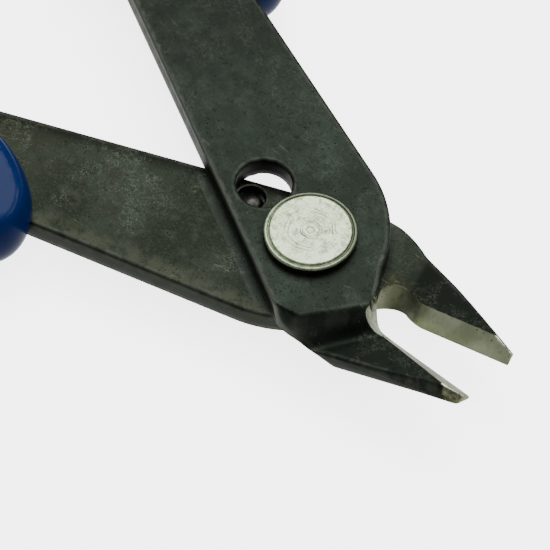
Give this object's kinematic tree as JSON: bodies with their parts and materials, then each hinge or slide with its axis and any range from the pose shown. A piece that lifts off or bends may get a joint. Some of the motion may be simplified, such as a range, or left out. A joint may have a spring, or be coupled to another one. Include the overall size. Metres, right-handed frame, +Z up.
{
  "type": "flush cutter",
  "caption": "Hand cutter of crossed stamped steel levers on a rivet, with angled flush-ground jaws, a hidden wire return spring and slim bowed dipped grips, resting open.",
  "frame": {"origin": "centre of the rivet's lower end face, on the pivot axis", "axes": "+Z up the rivet, from the lower lever to the upper one; +X to the jaws along the line that halves the angle between the levers; +Y towards the upper lever's handle"},
  "size_m": [0.1262, 0.0638, 0.0097],
  "materials": {
    "lower_lever": "black oxide, satin",
    "upper_lever": "black oxide, satin",
    "rivet": "turned satin steel",
    "spring": "oiled spring wire",
    "grips": "dipped vinyl, gloss"
  },
  "bodies": {
    "lower_half": {"lower_lever": "lower_lever", "rivet": "rivet", "spring": "spring", "lower_grip": "grips"},
    "upper_half": {"upper_lever": "upper_lever", "upper_grip": "grips"}
  },
  "joints": [
    {"name": "pivot", "type": "hinge", "parent": "lower_half", "child": "upper_half", "pos_m": [0, 0, 0.0043], "axis": [0, 0, 1], "range_deg": [0, 12.2], "stiffness_Nm_per_rad": 0.6, "springref_deg": -8.59, "deforming": ["spring"]}
  ]
}
